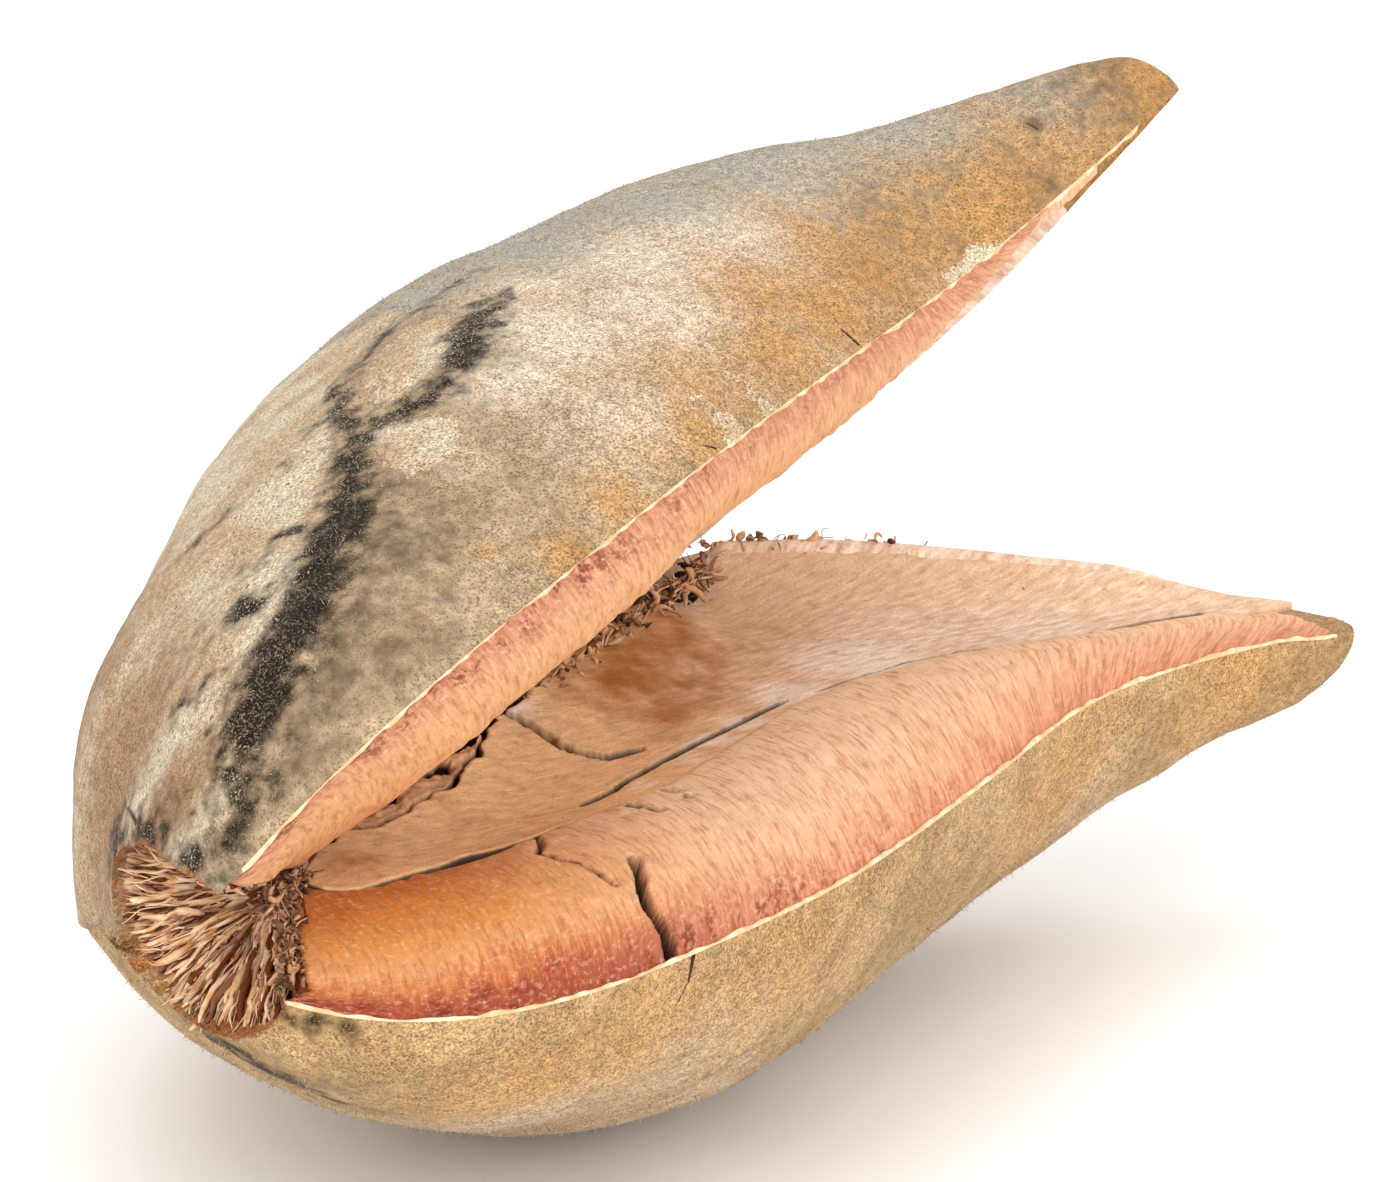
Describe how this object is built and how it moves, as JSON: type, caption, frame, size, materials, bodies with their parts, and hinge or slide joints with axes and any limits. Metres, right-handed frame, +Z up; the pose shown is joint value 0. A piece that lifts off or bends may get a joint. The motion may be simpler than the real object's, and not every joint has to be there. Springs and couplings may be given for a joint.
{
  "type": "opened woody pear",
  "caption": "Opened woody pear: a pear-shaped woody seed pod split into two beaked valves that gape from a joined base.",
  "frame": {"origin": "under the middle of the pod's box, on the surface that it rests on", "axes": "+X from the joined base towards the beaked tips, +Y away from the open seam, +Z up"},
  "size_m": [0.085, 0.0456, 0.0451],
  "materials": {
    "weathered_wood": "dry felted skin outside, bare matt wood in the split"
  },
  "bodies": {
    "root": {"woody_pear": "weathered_wood"}
  },
  "joints": []
}
